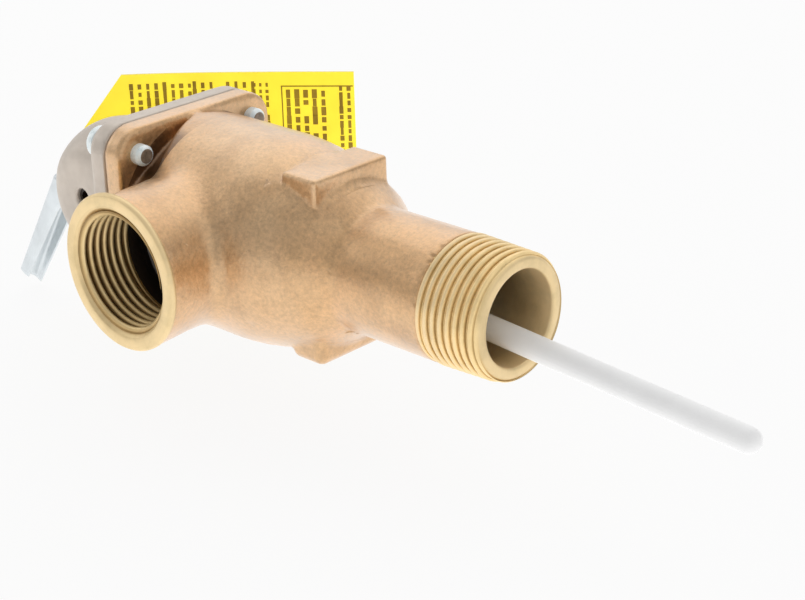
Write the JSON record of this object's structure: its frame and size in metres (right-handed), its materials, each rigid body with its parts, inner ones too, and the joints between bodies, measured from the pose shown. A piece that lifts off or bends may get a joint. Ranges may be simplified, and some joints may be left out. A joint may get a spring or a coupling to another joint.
{
  "type": "pressure relief valve",
  "caption": "Angle pressure relief valve for a water heater: cast body with threaded inlet, side outlet, square bonnet, test lever, sensing probe and hang tag.",
  "frame": {"origin": "centre of the inlet end face", "axes": "+X out of the inlet along the stem axis; -Y out of the outlet; +Z through the upper wrench pad"},
  "size_m": [0.2126, 0.086, 0.0591],
  "materials": {
    "cast_bronze": "as-cast, fine grain",
    "turned_brass": "machined",
    "bonnet_steel": "satin plated",
    "zinc_steel": "bright zinc",
    "spring_steel": "polished wire",
    "copper": "drawn",
    "gasket": "matt",
    "seat_rubber": "matt",
    "white_plastic": "smooth",
    "wax": "matt",
    "tag_card": null
  },
  "bodies": {
    "valve_body": {"body_casting": "cast_bronze", "bonnet_gasket": "gasket", "stem_guide_plate": "zinc_steel", "bonnet": "bonnet_steel", "bonnet_screws": "zinc_steel", "main_spring": "spring_steel", "pivot_pin": "zinc_steel", "lever_spacers": "zinc_steel", "thermostat_cage": "zinc_steel", "thermostat_head": "turned_brass", "thermostat_tube": "copper", "thermostat_wax": "wax", "probe_coating": "white_plastic"},
    "stem_and_disc": {"spring_cup": "zinc_steel", "stem": "turned_brass", "disc_holder": "turned_brass", "seat_disc": "seat_rubber", "disc_washer": "zinc_steel", "disc_screw": "zinc_steel", "lift_collar": "zinc_steel", "stem_clip": "spring_steel"},
    "test_lever": {"lever": "zinc_steel"},
    "thermostat_push": {"piston_seal": "gasket", "thermostat_piston": "spring_steel"},
    "wire": {"tag_wire": "spring_steel"},
    "hang_tag": {"tag": "tag_card"}
  },
  "joints": [
    {"name": "lever_turn", "type": "hinge", "parent": "valve_body", "child": "test_lever", "pos_m": [-0.1164, 0, 0.0001], "axis": [0, 1, 0], "range_deg": [0, 45]},
    {"name": "stem_lift", "type": "slide", "parent": "valve_body", "child": "stem_and_disc", "axis": [-1, 0, 0], "range_m": [0, 0.0032], "stiffness_N_per_m": 7933, "springref_m": -0.01651, "deforming": ["main_spring"]},
    {"name": "thermostat_travel", "type": "slide", "parent": "valve_body", "child": "thermostat_push", "axis": [-0.9974, 0, 0.0718], "range_m": [0, 0.0011]},
    {"name": "wire_swing", "type": "hinge", "parent": "valve_body", "child": "wire", "pos_m": [-0.1164, 0.01295, 0.0001], "axis": [0, 1, 0], "range_deg": [-3, 3]},
    {"name": "tag_swing", "type": "hinge", "parent": "wire", "child": "hang_tag", "pos_m": [-0.13594, 0.00958, -0.0036], "axis": [0, 0, 1], "range_deg": [0, 30]}
  ],
  "couplings": [
    {"joint": "lever_turn", "follows": "stem_lift", "rad_per_m": 245.44}
  ]
}
